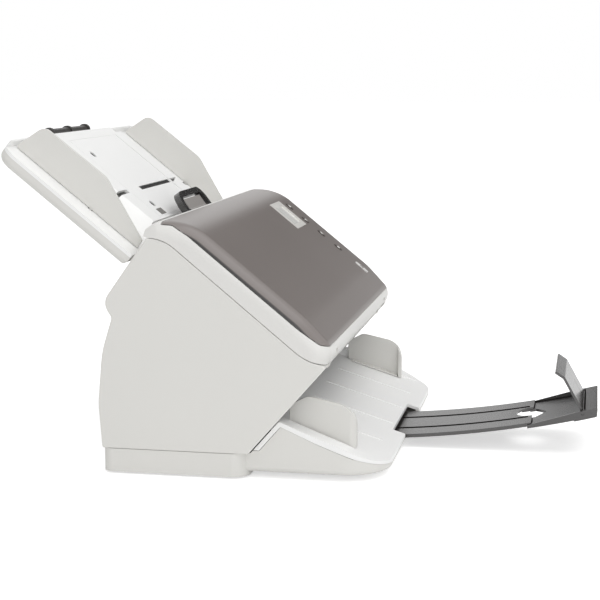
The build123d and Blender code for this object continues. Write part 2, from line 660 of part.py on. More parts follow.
# Steel side plates that carry every shaft
feed_axis = on_path(feed_place, -roller_radius)
exit_axis = on_path(exit_place, -roller_radius)
gear_radius = {
    teeth: gear_module * teeth / 2
    for teeth in (end_gear_teeth, small_idler_teeth, large_idler_teeth, pinion_teeth)}
idler_1_place = feed_place + gear_radius[end_gear_teeth] + gear_radius[small_idler_teeth]
idler_2_place = idler_1_place + gear_radius[small_idler_teeth] + gear_radius[large_idler_teeth]
idler_3_place = idler_2_place + gear_radius[large_idler_teeth] + gear_radius[small_idler_teeth]
idler_axes = [on_path(place, -roller_radius) for place in (idler_1_place, idler_2_place, idler_3_place)]
motor_axis = on_path(idler_2_place,
                     -roller_radius - gear_radius[large_idler_teeth] - gear_radius[pinion_teeth])
plate_corners = (
    (92.0, foot_height + 2.0, 4.0), (95.0, 60.0, 8.0), (85.0, 112.0, 8.0), (84.0, 128.0, 8.0),
    (74.0, 148.0, 3.0), (*on_path(3.0, -2.0), 2.0), (*on_path(127.0, -2.0), 2.0), (-11.0, 42.0, 3.0),
    (-2.0, 30.0, 4.0), (2.0, foot_height + 2.0, 2.0))
chassis = across(outline(*plate_corners), chassis_place, chassis_place + chassis_sheet)
bushing_radius = shaft_radius + running_clearance + bushing_wall
for axis in (feed_axis, exit_axis):
    chassis = chassis - rod(axis, bushing_radius, chassis_place - 1, chassis_place + chassis_sheet + 1)
chassis_right = chassis
chassis_left = mirror(chassis, about=Plane.YZ)
stud_length = gear_place + gear_width / 2 + 1.0 - chassis_place
for axis in idler_axes:
    chassis_left = chassis_left + rod(axis, stud_radius, -chassis_place - stud_length, -chassis_place)
chassis_left = chassis_left - rod(motor_axis, gear_radius[pinion_teeth] + 2.0, -chassis_place - 3,
                                  -chassis_place + 3)
nodes["chassis_plates"] = chassis_right + chassis_left

# Bushings in the side plates
bushing = (rod((0, 0), bushing_radius, 0, chassis_sheet) + rod((0, 0), bushing_radius + 1.5, -1.2, 0))
bushing = bushing - rod((0, 0), shaft_radius + running_clearance, -3, 3)
bushings = Part()
for axis in (feed_axis, exit_axis):
    bushings = bushings + Pos(chassis_place, axis[0], axis[1]) * bushing
    bushings = bushings + Pos(-chassis_place, axis[0], axis[1]) * mirror(bushing, about=Plane.YZ)
nodes["shaft_bushings"] = bushings

# Lower paper guide: skin of the path, entry ramp, apron and the tray's ears
guide_half = chassis_place - 0.1
lower_top = on_path(0.0, -guide_sink)
lower_foot = on_path(path_length + 2.0, -guide_sink)
skin_face = outline(
    (*throat_edge, 1.0), (*lower_top, 20.0), (*lower_foot, 1.0),
    (deck_rear + 0.6, deck_height(deck_rear), 0.5),
    (deck_rear + 0.6 + guide_skin, deck_height(deck_rear) - 0.6, 0.0),
    (*on_path(path_length, -guide_sink - guide_skin), 3.0), (*on_path(3.0, -guide_sink - guide_skin), 17.0),
    (throat_edge[0] - 3.0, throat_edge[1] - 5.4, 0.0))
lower_guide = across(skin_face, -guide_half, guide_half)
relief_foot = 150.0
side_relief = block(platform_half_width - 1.0, half_width, 65.5, 90.0, relief_foot, tray_foot[1] + 10)
lower_guide = lower_guide - both_sides(side_relief)
apron = across(outline(
    (throat_edge[0] - 0.2, throat_edge[1] - 1.0, 0.0), (throat_edge[0] - 1.2, 150.5, 0.0),
    (throat_edge[0] - 3.6, 150.5, 0.0), (throat_edge[0] - 3.2, throat_edge[1] - 4.0, 0.0)),
    -platform_half_width + 1.5, platform_half_width - 1.5)
lower_guide = lower_guide + apron
tray_hinge = on_tray(*tray_axis)
leg = outline(
    (tray_hinge[0] - 3.0, tray_hinge[1], 0.0), (tray_hinge[0] - 8.0, 154.0, 2.0),
    (throat_edge[0] - 2.4, 158.0, 0.0), (throat_edge[0] - 2.4, 150.6, 0.0),
    (tray_hinge[0] - 4.0, 150.6, 2.0), (tray_hinge[0] + 2.2, tray_hinge[1], 0.0))
tray_ear = across(leg, ear_place - ear_width / 2, ear_place + ear_width / 2)
tray_ear = tray_ear + rod(tray_hinge, ear_radius, ear_place - ear_width / 2, ear_place + ear_width / 2)
lower_guide = lower_guide + both_sides(tray_ear)
lower_guide = lower_guide - rod(tray_hinge, tray_pin_radius + running_clearance, -ear_place - 10,
                                ear_place + 10)
sensor_window = path_plane.location * block(
    -sensor_half_width - 0.2, sensor_half_width + 0.2, -sensor_place - sensor_length / 2 - 0.2,
    -sensor_place + sensor_length / 2 + 0.2, -guide_sink - guide_skin - 1, 5)
lower_guide = lower_guide - sensor_window
tyre_windows = Part()
for x in (-feed_tyre_x, feed_tyre_x):
    tyre_windows = tyre_windows + rod(feed_axis, roller_radius + 0.8, x - feed_tyre_width / 2 - 1,
                                      x + feed_tyre_width / 2 + 1)
for x in exit_tyre_places:
    tyre_windows = tyre_windows + rod(exit_axis, roller_radius + 0.8, x - exit_tyre_width / 2 - 1,
                                      x + exit_tyre_width / 2 + 1)
lower_guide = lower_guide - tyre_windows
nodes["lower_paper_guide"] = lower_guide

# Image sensors and their glasses, one each side of the path
def sensor_bar(out_from, out_to):
    """Bar across the path between two distances off the path's line."""
    return path_plane.location * block(
        -sensor_half_width, sensor_half_width, -sensor_place - sensor_length / 2,
        -sensor_place + sensor_length / 2, out_from, out_to)


nodes["lower_sensor_glass"] = sensor_bar(-guide_sink - glass_thickness, -guide_sink)
nodes["lower_image_sensor"] = sensor_bar(-guide_sink - glass_thickness - sensor_depth,
                                         -guide_sink - glass_thickness)
upper_face_out = guide_gap - guide_sink
nodes["upper_sensor_glass"] = sensor_bar(upper_face_out, upper_face_out + glass_thickness)
nodes["upper_image_sensor"] = sensor_bar(upper_face_out + glass_thickness,
                                         upper_face_out + glass_thickness + sensor_depth)


# Driven rollers
def roller_shaft(axis, radius, reach):
    """Plain shaft through both side plates."""
    return rod(axis, radius, -reach, reach)


def tyres(axis, radius, bore, places, width):
    """Rubber tyres on a shaft."""
    rings = Part()
    for x in places:
        rings = rings + (rod(axis, radius, x - width / 2, x + width / 2)
                         - rod(axis, bore, x - width, x + width))
    return rings


shaft_reach = gear_place + gear_width / 2 + 1.0
nodes["feed_roller_shaft"] = roller_shaft(feed_axis, shaft_radius, shaft_reach)
nodes["feed_roller_tyres"] = tyres(feed_axis, roller_radius, shaft_radius, (-feed_tyre_x, feed_tyre_x),
                                   feed_tyre_width)
nodes["exit_roller_shaft"] = roller_shaft(exit_axis, shaft_radius, shaft_reach)
nodes["exit_roller_tyres"] = tyres(exit_axis, roller_radius, shaft_radius, exit_tyre_places, exit_tyre_width)


# Gears: straight-flanked teeth with backlash
def spur_gear(teeth, bore, facing):
    """Gear about X; a tooth stands at the facing angle in the side view, in degrees."""
    pitch = gear_module * teeth / 2
    tip, root = pitch + 0.8 * gear_module, pitch - 1.1 * gear_module
    half_tip, half_root = radians(360 / teeth * 0.10), radians(360 / teeth * 0.27)
    points = []
    for index in range(teeth):
        middle = radians(facing + 360 / teeth * index)
        for radius, turn in ((root, -half_root), (tip, -half_tip), (tip, half_tip), (root, half_root)):
            points.append((radius * cos(middle + turn), radius * sin(middle + turn)))
    face = make_face(Polyline(*points, close=True)) - Circle(bore)
    return across(face, -gear_width / 2, gear_width / 2)


def placed_gear(teeth, bore, facing, axis):
    """Gear in the plane of the train."""
    return Pos(-gear_place, axis[0], axis[1]) * spur_gear(teeth, bore, facing)


train_angle = degrees(atan2(path_down[1], path_down[0]))
half_small = 180 / small_idler_teeth
half_pinion = 180 / pinion_teeth
stud_bore = stud_radius + running_clearance
nodes["feed_gear"] = placed_gear(end_gear_teeth, shaft_radius, train_angle, feed_axis)
nodes["idler_gear_upper"] = placed_gear(small_idler_teeth, stud_bore, train_angle + half_small, idler_axes[0])
nodes["idler_gear_middle"] = placed_gear(large_idler_teeth, stud_bore, train_angle, idler_axes[1])
nodes["idler_gear_lower"] = placed_gear(small_idler_teeth, stud_bore, train_angle + half_small, idler_axes[2])
nodes["exit_gear"] = placed_gear(end_gear_teeth, shaft_radius, train_angle, exit_axis)
motor_shaft_radius = 1.6
nodes["motor_pinion"] = placed_gear(pinion_teeth, 1.2, train_angle + 90 + half_pinion, motor_axis) + rod(
    motor_axis, motor_shaft_radius, -gear_place + gear_width / 2, -chassis_place + 8.0)
motor_face = -chassis_place + 0.4
motor_body = rod(motor_axis, motor_radius, motor_face, motor_face + motor_length)
motor_body = motor_body + rod(motor_axis, 3.0, motor_face + motor_length, motor_face + motor_length + 3)
nodes["drive_motor"] = motor_body - rod(motor_axis, motor_shaft_radius + running_clearance, motor_face - 1,
                                        -chassis_place + 8.4)

# Upper transport frame inside the cover
frame_top = cover_crest_height - wall - panel_skin - 7.0
frame_corners = (
    (*on_path(7.0, upper_face_out), 1.0), (*on_path(122.0, upper_face_out), 3.0), (-47.0, 93.5, 4.0),
    (-30.0, 112.5, 0.0), (36.0, frame_top - 8.0, 4.0), (61.0, frame_top - 4.0, 1.0))
frame_face = outline(*frame_corners)
upper_frame = across(frame_face, -frame_half_width, frame_half_width)
frame_hollow = across(offset(frame_face, -guide_skin, kind=Kind.INTERSECTION), -frame_half_width + 2.5,
                      frame_half_width - 2.5)
upper_frame = upper_frame - frame_hollow
separation_axis = on_path(feed_place, nip_gap + separation_radius)
pinch_axis = on_path(exit_place, nip_gap + pinch_radius)
sensor_recess = path_plane.location * block(
    -sensor_half_width - 0.2, sensor_half_width + 0.2, -sensor_place - sensor_length / 2 - 0.2,
    -sensor_place + sensor_length / 2 + 0.2, -2, upper_face_out + glass_thickness + sensor_depth + 0.2)
separation_room = rod(separation_axis, separation_radius + 1.0, -feed_tyre_x - feed_tyre_width / 2 - 2,
                      feed_tyre_x + feed_tyre_width / 2 + 2)
pinch_rooms = Part() + [
    rod(pinch_axis, pinch_radius + 0.8, x - exit_tyre_width / 2 - 1, x + exit_tyre_width / 2 + 1)
    for x in exit_tyre_places]
bearing_bore = pinch_shaft_radius + running_clearance
bearing_from = feed_tyre_x + feed_tyre_width / 2 + 3.0
bearing_blocks = both_sides(rod(separation_axis, pinch_shaft_radius + 4.0, bearing_from, bearing_from + 6.0))
for x in (-60.0, 0.0, 60.0):
    bearing_blocks = bearing_blocks + rod(pinch_axis, pinch_shaft_radius + 3.0, x - 3.0, x + 3.0)
upper_frame = upper_frame - sensor_recess - separation_room - pinch_rooms + bearing_blocks
pinch_half = 97.0
upper_frame = upper_frame - rod(separation_axis, bearing_bore, -60, 60)
upper_frame = upper_frame - rod(pinch_axis, bearing_bore, -pinch_half - 4, pinch_half + 4)
lever_axis = (65.5, 170.5)
lever_room = block(-lever_half_width - 4, lever_half_width + 4, 54.0, 75.0, 163.0, 190.0)
upper_frame = upper_frame - lever_room
nodes["upper_transport_frame"] = upper_frame

# Undriven rollers in the frame
separation_half = bearing_from + 5.0
tyre_bore = pinch_shaft_radius - 0.5
nodes["separation_roller"] = roller_shaft(separation_axis, pinch_shaft_radius, separation_half) + tyres(
    separation_axis, separation_radius, tyre_bore, (-feed_tyre_x, feed_tyre_x), feed_tyre_width)
nodes["pinch_rollers"] = roller_shaft(pinch_axis, pinch_shaft_radius, pinch_half) + tyres(
    pinch_axis, pinch_radius, tyre_bore, exit_tyre_places, exit_tyre_width)

# Release lever: U-shaped bail at the rear of the cover, with the gap release flap inside it
lever_lean = degrees(atan2(18.0, 13.0))
lever_plane = tilted(lever_axis, lever_lean)
lever_reach = 24.0
lever_thickness = 5.0
arm_width = 5.5
bail_face = RectangleRounded(2 * lever_half_width, 2 * lever_reach, 13.0)
bail_face = bail_face - RectangleRounded(2 * (lever_half_width - arm_width), 2 * (lever_reach - 5.0), 8.0)
bail = Pos(0, 0, -lever_thickness / 2) * extrude(bail_face, lever_thickness, dir=(0, 0, 1))
bail = bail & block(-60, 60, 0, 60, -10, 10)
bail = lever_plane.location * bail
lever_boss_x = lever_half_width - arm_width
bail = bail + both_sides(rod(lever_axis, 3.4, lever_boss_x, lever_half_width))
bail = bail - rod(lever_axis, 1.5 + running_clearance, -60, 60)
nodes["release_lever"] = bail
flap_foot = 7.0
flap_reach = 17.2
flap_half = 24.0
flap_axis = (lever_axis[0] + flap_foot * cos(radians(lever_lean)),
             lever_axis[1] + flap_foot * sin(radians(lever_lean)))
flap = lever_plane.location * block(-flap_half, flap_half, flap_foot, flap_reach, -1.3, 1.3)
flap = flap + rod(flap_axis, 1.8, -flap_half, flap_half)
flap = flap - rod(flap_axis, 1.0 + running_clearance, -60, 60)
nodes["gap_release_flap"] = flap
# Bracket that carries the lever and the flap
bracket_arm = across(outline(
    (56.0, 165.5, 0.0), (68.2, 165.5, 1.0), (68.2, 172.5, 1.0), (flap_axis[0] + 2.6, flap_axis[1], 1.0),
    (flap_axis[0], flap_axis[1] + 2.4, 1.0), (62.2, 173.0, 1.0), (56.0, 169.8, 0.0)),
    flap_half + 0.6, lever_boss_x - 0.6)
bracket = both_sides(bracket_arm) + block(
    -lever_half_width - 3.4, lever_half_width + 3.4, 56.0, 59.0, 163.2, 169.8)
bracket = bracket + rod(lever_axis, 1.5, -lever_half_width, -flap_half - 1) + rod(
    lever_axis, 1.5, flap_half + 1, lever_half_width)
bracket = bracket + rod(flap_axis, 1.0, -flap_half - 2, flap_half + 2)
nodes["lever_bracket"] = bracket

# Latch hooks on one shaft, driven by the lever
latch_axis = (50.0, 161.0)
hook_inset = 14.0             # from the body's side to a hook
hook_place = half_width - hook_inset
hook = across(outline(
    (latch_axis[0] - 3.2, latch_axis[1], 0.0), (latch_axis[0] - 1.0, latch_axis[1] - 12.0, 2.0),
    (latch_axis[0] + 5.6, latch_axis[1] - 13.4, 1.0), (latch_axis[0] + 3.0, latch_axis[1] - 9.0, 1.0),
    (latch_axis[0] + 3.2, latch_axis[1], 0.0)), hook_place - 1.5, hook_place + 1.5)
latch = both_sides(hook + rod(latch_axis, 3.2, hook_place - 1.5, hook_place + 1.5))
nodes["latch_hooks"] = latch + rod(latch_axis, 2.0, -hook_place - 2.5, hook_place + 2.5)
nodes["upper_transport_frame"] = nodes["upper_transport_frame"] - rod(
    latch_axis, 2.0 + running_clearance, -frame_half_width - 1, frame_half_width + 1)

# Rear cover with its cut-outs for the sockets
back_face = body_face - offset(body_face, -wall)
back_zone = outline(
    (base_rear - wall, base_height, 0.0), (110.0, base_height, 0.0), (110.0, 175.0, 0.0),
    (62.0, 175.0, 0.0), (62.0, 160.0, 0.0), (86.0, 100.0, 0.0), (86.0, base_height + wall + seam, 0.0),
    (base_rear - wall, base_height + wall + seam, 0.0))
rear_cover = across(back_face & back_zone, -inner_half + 0.1, inner_half - 0.1)
rear_cover = rear_cover - block(-platform_half_width - 0.6, platform_half_width + 0.6, 60, 100, 149.6, 190)
socket_height = 32.0
inlet_x = -78.0
usb_x = -52.0
socket_half = 6.0
inlet_hole = block(inlet_x - 6.2, inlet_x + 6.2, 90, 110, socket_height - 6.2, socket_height + 6.2)
usb_hole = block(usb_x - 6.7, usb_x + 6.7, 90, 110, socket_height - 6.2, socket_height + 6.2)
rear_cover = rear_cover - inlet_hole - usb_hole
vent = block(-1.5, 1.5, 90, 110, 60, 88)
rear_cover = rear_cover - (Part() + [Pos(x, 0, 0) * vent for x in range(30, 121, 9)])
nodes["rear_cover"] = rear_cover

# Main board with its sockets
board_y = 88.0
main_board = block(-100.0, 70.0, board_y, board_y + 1.6, foot_height + 4.0, 96.0)
chips = (block(-40, -16, board_y - 2.2, board_y, 50, 74) + block(10, 28, board_y - 1.6, board_y, 40, 58)
         + block(-80, -60, board_y - 6.0, board_y, 70, 84) + block(40, 60, board_y - 9.0, board_y, 66, 84))
nodes["main_board"] = main_board + chips
socket_rear = base_rear + 0.6
jack = block(inlet_x - socket_half, inlet_x + socket_half, board_y + 1.6, socket_rear,
             socket_height - socket_half, socket_height + socket_half)
jack = jack - Pos(inlet_x, socket_rear, socket_height) * (Rot(90, 0, 0) * Cylinder(3.2, 18.0))
jack = jack + Pos(inlet_x, socket_rear - 5.5, socket_height) * (Rot(90, 0, 0) * Cylinder(0.9, 7.0))
usb = block(usb_x - socket_half - 0.5, usb_x + socket_half + 0.5, board_y + 1.6, socket_rear,
            socket_height - socket_half, socket_height + socket_half)
usb = usb - block(usb_x - 4.4, usb_x + 4.4, socket_rear - 9.0, socket_rear + 1, socket_height - 4.4,
                  socket_height + 4.4)
usb = usb + block(usb_x - 2.6, usb_x + 2.6, socket_rear - 9.2, socket_rear - 1.5, socket_height + 0.4,
                  socket_height + 2.0)
nodes["rear_sockets"] = jack + usb

# Housing screws, driven up through the bottom housing
screw_inset = 14.5            # from the body's side to a screw
screw_places = [(side * (half_width - screw_inset), y) for side in (-1, 1) for y in (26.0, 70.0)]
screw = Pos(0, 0, foot_height + 1.0) * Cylinder(3.0, 1.6) + Pos(0, 0, foot_height + 5.0) * Cylinder(1.4, 8.0)
housing_screws = Part() + [Pos(x, y, 0) * screw for x, y in screw_places]
nodes["housing_screws"] = housing_screws
nodes["bottom_housing"] = nodes["bottom_housing"] - housing_screws


# Input tray: upper and lower shells
def tray_plan(inset, a_low, height_from, height_to):
    """Tray's outline in plan, in the tray's own plane."""
    sheet = Pos(0, (a_low + tray_length - inset) / 2) * Rectangle(
        2 * (tray_half_width - inset), tray_length - inset - a_low)
    far = sheet.vertices().sort_by(Axis.Y)[-2:]
    sheet = fillet(far, tray_corner_radius - inset)
    return Pos(0, 0, height_from) * extrude(sheet, height_to - height_from, dir=(0, 0, 1))


def tray_section(drop, inset, a_from, a_to):
    """Upper surface's section run up the slope, lowered by a drop."""
    foot = -tray_depth
    section = make_face(Polyline(
        (-tray_half_width + inset, foot), (-tray_half_width + inset, -trough_depth - drop),
        (-trough_half_width, -trough_depth - drop), (-platform_half_width, -drop),
        (platform_half_width, -drop), (trough_half_width, -trough_depth - drop),
        (tray_half_width - inset, -trough_depth - drop), (tray_half_width - inset, foot), close=True))
    return Pos(0, a_from, 0) * (Rot(90, 0, 0) * extrude(section, a_to - a_from, dir=(0, 0, -1)))


front_gap = 0.6
platform_zone = block(-platform_half_width - 2.2, platform_half_width + 2.2, -tray_skirt - 1, front_gap,
                      -tray_depth - 1, 5)
end_cut = block(-half_width, half_width, platform_end, tray_length + 1, -end_drop, 5)
end_wall = tray_plan(0.0, -tray_skirt, -tray_split, -end_drop) & block(
    -half_width, half_width, tray_length - tray_wall, tray_length + 1, -tray_depth, 5)
end_wall = fillet(end_wall.edges().group_by(Axis.Z)[-1], 0.8)
tray_solid = tray_section(0.0, 0.0, -tray_skirt, tray_length) & tray_plan(0.0, -tray_skirt, -30, 5)
tray_solid = tray_solid - end_cut + end_wall - platform_zone
inside = tray_section(tray_wall, tray_wall, -tray_skirt + tray_wall, tray_length - tray_wall)
inside = inside & tray_plan(tray_wall, -tray_skirt + tray_wall, -30, 5)
inside = inside - block(-half_width, half_width, platform_end - tray_wall, tray_length,
                        -end_drop - tray_wall, 5)
front_room = block(-platform_half_width - 2.2 - tray_wall, platform_half_width + 2.2 + tray_wall,
                   -tray_skirt - 1, front_gap + tray_wall, -tray_depth - 1, 5)
inside_top = inside - front_room
upper_zone = block(-200, 200, -50, 200, -tray_split, 30)
tray_top = (tray_solid - inside_top) & upper_zone
panel_foot_gap = 0.15
panel_seat = 0.6              # the panel rests on the rim of its hole through this much skin
centre_hole = block(-centre_panel_half_width - panel_gap_left, centre_panel_half_width + panel_gap_right,
                    front_gap + 2.4, centre_panel_end + panel_foot_gap, -tray_wall - panel_seat, 5)
tray_top = tray_top - centre_hole
extension_room = extension_half_width + slide_gap
runner_depth = extension_depth + extension_thickness + slide_gap
extension_way = block(-extension_room, extension_room, 12.0, tray_length + 1, -runner_depth,
                      -extension_depth + slide_gap)
tray_top = tray_top - extension_way
runner_wall = 2.2
runner_end = platform_end - tray_wall
runner = block(extension_half_width - 4.0, extension_room + runner_wall, 14.0, runner_end,
               -runner_depth - 1.5, -runner_depth)
runner = runner + block(extension_room, extension_room + runner_wall, 14.0, runner_end, -runner_depth - 1.5,
                        -tray_wall)
tray_top = tray_top + both_sides(runner)
guide_slot = block(guide_slot_inner, paper_guide_place + guide_slot_spare,
                   guide_slot_place - guide_slot_width / 2, guide_slot_place + guide_slot_width / 2, -30, 5)
tray_top = tray_top - both_sides(guide_slot)

bottom_solid = tray_plan(0.0, -tray_skirt, -tray_depth, -tray_split)
bottom_edges = bottom_solid.edges().group_by(Axis.Z)[0]
bottom_solid = fillet(bottom_edges, 6.0)
bottom_solid = bottom_solid - platform_zone
bottom_inside = tray_plan(tray_wall, -tray_skirt + tray_wall, -tray_depth + tray_wall, 5) - front_room
tray_bottom = bottom_solid - bottom_inside
ear_slot = block(ear_place - ear_width / 2 - 0.6, ear_place + ear_width / 2 + 0.6, -1, 13.0, -30,
                 -tray_wall - 0.4)
bosses = Part()
for x in (ear_place - ear_width / 2 - 4.0, ear_place + ear_width / 2 + 0.6):
    bosses = bosses + block(x, x + 3.4, front_gap, 13.0, -tray_depth + 1.0, -tray_wall - 0.7)
pin_half = ear_width / 2 + 4.0
tray_pin = rod(tray_axis, tray_pin_radius, ear_place - pin_half, ear_place + pin_half)
tray_bottom = tray_bottom + both_sides(bosses) - both_sides(ear_slot)
tray_top = tray_top - both_sides(ear_slot)
tray_top = tray_top - both_sides(block(ear_place - ear_width / 2 - 4.2, ear_place + ear_width / 2 + 4.2,
                                       -1, 13.2, -30, -tray_wall - 0.5))
tray_bottom = tray_bottom - both_sides(tray_pin)
nodes["tray_upper_shell"] = tray_plane.location * tray_top
nodes["tray_lower_shell"] = tray_plane.location * tray_bottom
nodes["tray_hinge_pins"] = tray_plane.location * both_sides(tray_pin)

# Centre panel of the tray, with the guide slot and the sensor's window
centre_panel = block(-centre_panel_half_width, centre_panel_half_width, front_gap + 2.4 + panel_foot_gap,
                     centre_panel_end, -tray_wall, 0)
long_slot = block(-28.0, 55.0, guide_slot_place - guide_slot_width / 2,
                  guide_slot_place + guide_slot_width / 2, -5, 5)
round_hole = Cylinder(3.2, 10)
centre_panel = centre_panel - long_slot - Pos(-42.0, 76.0, 0) * round_hole - Pos(-41.0, 16.4, 0) * round_hole
lens = Pos(-41.2, 7.4, 0) * Box(13.4, 6.4, 1.3, align=(Align.CENTER, Align.CENTER, Align.MAX))
lens_seat = offset(lens, 0.1, kind=Kind.INTERSECTION) & block(-half_width, 0, 0, 20, -1.3, 1)
centre_panel = centre_panel - lens_seat
nodes["tray_centre_panel"] = tray_plane.location * centre_panel
nodes["paper_sensor_lens"] = tray_plane.location * lens

# Tray extension with its grip: a ribbed roll along the far edge
extension_root = tray_length + 0.6
extension_foot = -extension_depth - extension_thickness
extension_plate = block(-extension_half_width, extension_half_width, 14.0, extension_root, extension_foot,
                        -extension_depth)
nodes["tray_extension"] = tray_plane.location * extension_plate


def grip_roll(radius, middle, width):
    """Round stretch of the grip."""
    return Pos(middle, grip_place, -grip_drop) * (Rot(0, 90, 0) * Cylinder(radius, width))


grip = grip_roll(grip_radius, 0.0, 2 * grip_half_width)
grip_ribs = Part() + [
    grip_roll(grip_rib_radius, x, grip_rib_width)
    for x in (grip_rib_width / 2 - grip_half_width, 0.0, grip_half_width - grip_rib_width / 2)]
grip_root = block(-grip_half_width, grip_half_width, extension_root, grip_place, extension_foot,
                  -extension_depth)
nodes["extension_grip"] = tray_plane.location * (grip + grip_ribs + grip_root)


# Paper guides with their racks, and the pinion between them
def rack(x_from, x_to, a_edge, toward, half_pitch_shift):
    """Rack along X whose teeth point along a; toward is +1 or -1."""
    pitch = pi * gear_module
    points = [(x_from, a_edge - toward * rack_width)]
    count = int((x_to - x_from) / pitch) - 1
    start = x_from + ((half_pitch_shift - x_from) % pitch) + pitch / 2
    for index in range(count):
        middle = start + index * pitch
        for shift, height in ((-0.27, -1.1), (-0.10, 0.8), (0.10, 0.8), (0.27, -1.1)):
            points.append((middle + shift * pitch, a_edge + toward * height * gear_module))
    points.insert(1, (x_from, a_edge - toward * 1.1 * gear_module))
    points.append((x_to, a_edge - toward * 1.1 * gear_module))
    points.append((x_to, a_edge - toward * rack_width))
    face = make_face(Polyline(*points, close=True))
    return Pos(0, 0, -rack_depth - rack_thickness) * extrude(face, rack_thickness, dir=(0, 0, 1))


guide_pinion_radius = gear_module * pinion_teeth / 2
guide_foot_line = -trough_depth + seam
guide_face = make_face(FilletPolyline(
    (-10.0, guide_foot_line), (104.3, guide_foot_line), (96.2, paper_guide_top - 0.6),
    (38.5, paper_guide_top), (-9.4, -3.2), radius=[0.5, 2.0, 7.0, 16.0, 1.0], close=True))
half_guide = paper_guide_thickness / 2
guide_wall = across(guide_face, paper_guide_place - half_guide, paper_guide_place + half_guide)
neck_half = 1.3
rack_foot = -rack_depth - rack_thickness
guide_neck = block(paper_guide_place - half_guide, paper_guide_place + half_guide,
                   guide_slot_place - neck_half, guide_slot_place + neck_half, rack_foot, -trough_depth + 2.0)
rack_edge = guide_slot_place + guide_pinion_radius
neck_bridge = block(paper_guide_place - 4.0, paper_guide_place + half_guide, guide_slot_place - neck_half,
                    rack_edge + rack_width, rack_foot, -rack_depth)
right_rack = rack(-14.0, paper_guide_place - 3.0, rack_edge, -1, 0.0)
guide_right = guide_wall + guide_neck + neck_bridge + right_rack
nodes["paper_guide_right"] = tray_plane.location * guide_right
turned = Pos(0, guide_slot_place, 0) * (Rot(0, 0, 180) * (Pos(0, -guide_slot_place, 0) * (
    neck_bridge + right_rack)))
guide_left = mirror(guide_wall + guide_neck, about=Plane.YZ) + turned
nodes["paper_guide_left"] = tray_plane.location * guide_left
pinion_points = []
for index in range(pinion_teeth):
    middle = 2 * pi / pinion_teeth * index + pi / 2
    for radius, turn in ((-1.1, -0.27), (0.8, -0.10), (0.8, 0.10), (-1.1, 0.27)):
        reach = guide_pinion_radius + radius * gear_module
        angle = middle + turn * 2 * pi / pinion_teeth
        pinion_points.append((reach * cos(angle), reach * sin(angle)))
pinion_face = make_face(Polyline(*pinion_points, close=True)) - Circle(2.0 + running_clearance)
guide_pinion = Pos(0, guide_slot_place, rack_foot) * extrude(
    pinion_face, rack_thickness, dir=(0, 0, 1))
nodes["guide_pinion"] = tray_plane.location * guide_pinion
pinion_post = Pos(0, guide_slot_place, -tray_depth + 1.0) * Cylinder(
    2.0, tray_depth - 1.0 - rack_depth + 1.0, align=(Align.CENTER, Align.CENTER, Align.MIN))
nodes["tray_lower_shell"] = nodes["tray_lower_shell"] + tray_plane.location * pinion_post

# Centre the model in plan and write one file for each sub-part
everything = Compound(children=[Part() + solid for solid in nodes.values()])
box = everything.bounding_box()
shift = (-(box.min.X + box.max.X) / 2, -(box.min.Y + box.max.Y) / 2, -box.min.Z)
os.makedirs("parts", exist_ok=True)
for name, solid in nodes.items():
    placed = Pos(*shift) * solid
    export_step(Compound(placed.solids()) if len(placed.solids()) > 1 else placed.solids()[0],
                os.path.join("parts", name + ".step"))
print("shift", shift, "size", box.size)
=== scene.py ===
import json
import math

import bpy
from mathutils import Matrix, Vector


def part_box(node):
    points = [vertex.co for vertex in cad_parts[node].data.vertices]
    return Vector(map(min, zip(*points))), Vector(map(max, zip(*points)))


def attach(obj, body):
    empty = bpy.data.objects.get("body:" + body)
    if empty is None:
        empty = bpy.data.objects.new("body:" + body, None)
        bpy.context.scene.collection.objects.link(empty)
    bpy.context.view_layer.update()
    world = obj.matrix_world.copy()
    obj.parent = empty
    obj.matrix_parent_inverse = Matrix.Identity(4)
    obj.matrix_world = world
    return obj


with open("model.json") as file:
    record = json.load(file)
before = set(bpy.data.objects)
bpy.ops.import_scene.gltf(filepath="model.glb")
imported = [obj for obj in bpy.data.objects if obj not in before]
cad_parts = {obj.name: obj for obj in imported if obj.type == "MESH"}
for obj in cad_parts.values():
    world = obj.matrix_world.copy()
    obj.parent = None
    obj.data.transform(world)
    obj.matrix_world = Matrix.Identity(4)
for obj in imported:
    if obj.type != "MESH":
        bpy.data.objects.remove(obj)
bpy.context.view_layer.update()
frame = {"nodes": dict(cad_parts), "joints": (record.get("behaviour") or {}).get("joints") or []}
nodes = frame["nodes"]


bpy.ops.object.select_all(action="DESELECT")

# Camera of the photograph, low beside the left end of the machine. Its place was worked out
# from the body's width, and is given in metres from the middle of the footprint.
CAMERA_PLACE = Vector((-1.1654, -0.2067, 0.2854))
CAMERA_YAW = math.radians(10.97)
CAMERA_PITCH = math.radians(8.64)
CAMERA_LENS = 91.2
SENSOR_WIDTH = 36.0
bpy.ops.object.camera_add(location=CAMERA_PLACE)
camera = bpy.context.object
camera.data.lens = CAMERA_LENS
camera.data.sensor_width = SENSOR_WIDTH
look = Vector((math.cos(CAMERA_PITCH) * math.cos(CAMERA_YAW),
               math.cos(CAMERA_PITCH) * math.sin(CAMERA_YAW), -math.sin(CAMERA_PITCH)))
rightwards = look.cross(Vector((0, 0, 1))).normalized()
camera.rotation_euler = Matrix((rightwards, rightwards.cross(look), -look)).transposed().to_euler()
bpy.context.scene.camera = camera
bpy.context.scene.view_settings.view_transform = "Standard"

# Desk under the machine: a white laminate sheet, matt, that runs out of sight. It is a little
# brighter to the camera and in reflections, so it shows white and still takes the soft shadow.
DESK_SIZE = 24.0
DESK_LIFT = 0.55


